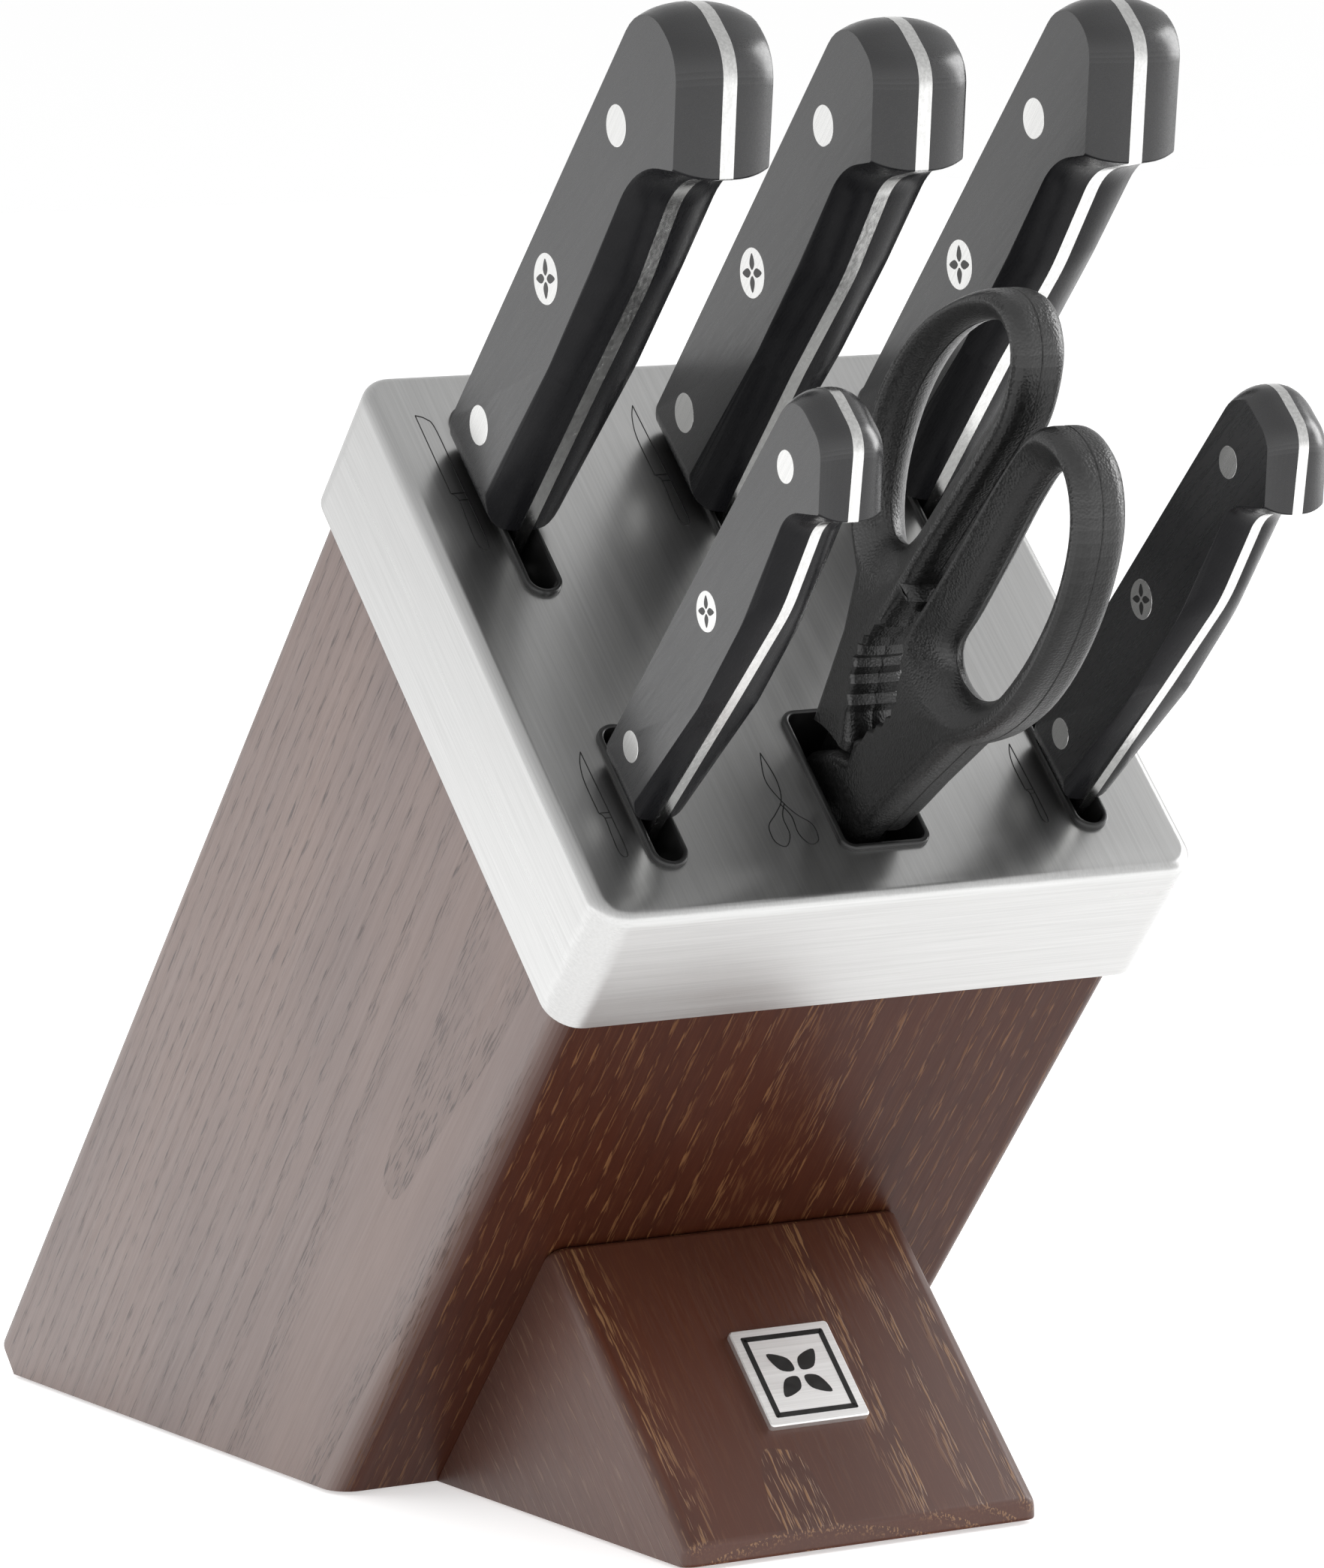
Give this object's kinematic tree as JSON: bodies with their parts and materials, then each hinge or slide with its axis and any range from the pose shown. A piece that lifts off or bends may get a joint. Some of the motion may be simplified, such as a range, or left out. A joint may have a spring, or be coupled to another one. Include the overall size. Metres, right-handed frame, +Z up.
{
  "type": "knife block with knives and shears",
  "caption": "Leaning wooden knife block with a steel cap and a wedge foot; riveted full-tang kitchen knives and loop-handled shears slide out of lined slots.",
  "frame": {"origin": "on the surface the block stands on, in the middle of the whole object's footprint box", "axes": "+Z up, +X across the block to the right seen from the user's side, -Y towards the user; handles lean up and towards -Y at 45.4 degrees"},
  "size_m": [0.133, 0.399, 0.3034],
  "materials": {
    "stained_ash": "satin stained ash with open pores",
    "core_wood": "unstained wood inside the block",
    "brushed_cap_steel": "brushed stainless steel sheet",
    "blade_steel": "ground stainless steel",
    "rivet_steel": "polished steel rivet ends",
    "liner_plastic": "smooth black plastic",
    "handle_plastic": "satin black plastic with fine polishing marks",
    "grip_plastic": "fine-grained black plastic",
    "ceramic": "unglazed white ceramic",
    "pad_rubber": "matte non-slip rubber"
  },
  "bodies": {
    "block": {"left_panel": "stained_ash", "right_panel": "stained_ash", "front_panel": "stained_ash", "back_panel": "stained_ash", "base_board": "core_wood", "slot_core": "core_wood", "foot_wedge": "stained_ash", "badge": "brushed_cap_steel", "steel_cap": "brushed_cap_steel", "cap_frame": "liner_plastic", "back_pad": "pad_rubber", "front_pad": "pad_rubber", "bread_slot_liner": "liner_plastic", "carving_slot_liner": "liner_plastic", "chef_slot_liner": "liner_plastic", "utility_slot_liner": "liner_plastic", "shears_slot_liner": "liner_plastic", "paring_slot_liner": "liner_plastic", "carving_sharpening_stone": "ceramic", "chef_sharpening_stone": "ceramic", "utility_sharpening_stone": "ceramic", "paring_sharpening_stone": "ceramic"},
    "bread_knife": {"bread_blade": "blade_steel", "bread_scale_left": "handle_plastic", "bread_scale_right": "handle_plastic", "bread_rivet_1": "rivet_steel", "bread_rivet_2": "rivet_steel", "bread_rivet_3": "rivet_steel"},
    "carving_knife": {"carving_blade": "blade_steel", "carving_scale_left": "handle_plastic", "carving_scale_right": "handle_plastic", "carving_rivet_1": "rivet_steel", "carving_rivet_2": "rivet_steel", "carving_rivet_3": "rivet_steel"},
    "chef_knife": {"chef_blade": "blade_steel", "chef_scale_left": "handle_plastic", "chef_scale_right": "handle_plastic", "chef_rivet_1": "rivet_steel", "chef_rivet_2": "rivet_steel", "chef_rivet_3": "rivet_steel"},
    "utility_knife": {"utility_blade": "blade_steel", "utility_scale_left": "handle_plastic", "utility_scale_right": "handle_plastic", "utility_rivet_1": "rivet_steel", "utility_rivet_2": "rivet_steel", "utility_rivet_3": "rivet_steel"},
    "paring_knife": {"paring_blade": "blade_steel", "paring_scale_left": "handle_plastic", "paring_scale_right": "handle_plastic", "paring_rivet_1": "rivet_steel", "paring_rivet_2": "rivet_steel", "paring_rivet_3": "rivet_steel"},
    "shears_front_half": {"shears_front_grip": "grip_plastic", "shears_front_blade": "blade_steel", "shears_pivot": "rivet_steel"},
    "shears_back_half": {"shears_back_grip": "grip_plastic", "shears_back_blade": "blade_steel"}
  },
  "joints": [
    {"name": "bread_knife_slide", "type": "slide", "parent": "block", "child": "bread_knife", "axis": [0, -0.712, 0.7022], "range_m": [0, 0.215]},
    {"name": "carving_knife_slide", "type": "slide", "parent": "block", "child": "carving_knife", "axis": [0, -0.712, 0.7022], "range_m": [0, 0.215]},
    {"name": "chef_knife_slide", "type": "slide", "parent": "block", "child": "chef_knife", "axis": [0, -0.712, 0.7022], "range_m": [0, 0.215]},
    {"name": "utility_knife_slide", "type": "slide", "parent": "block", "child": "utility_knife", "axis": [0, -0.712, 0.7022], "range_m": [0, 0.148]},
    {"name": "paring_knife_slide", "type": "slide", "parent": "block", "child": "paring_knife", "axis": [0, -0.712, 0.7022], "range_m": [0, 0.118]},
    {"name": "shears_slide", "type": "slide", "parent": "block", "child": "shears_front_half", "axis": [0, -0.712, 0.7022], "range_m": [0, 0.115]},
    {"name": "shears_hinge", "type": "hinge", "parent": "shears_front_half", "child": "shears_back_half", "pos_m": [0, -0.09409, 0.1438], "axis": [1, 0, 0], "range_deg": [-10, 0]}
  ]
}
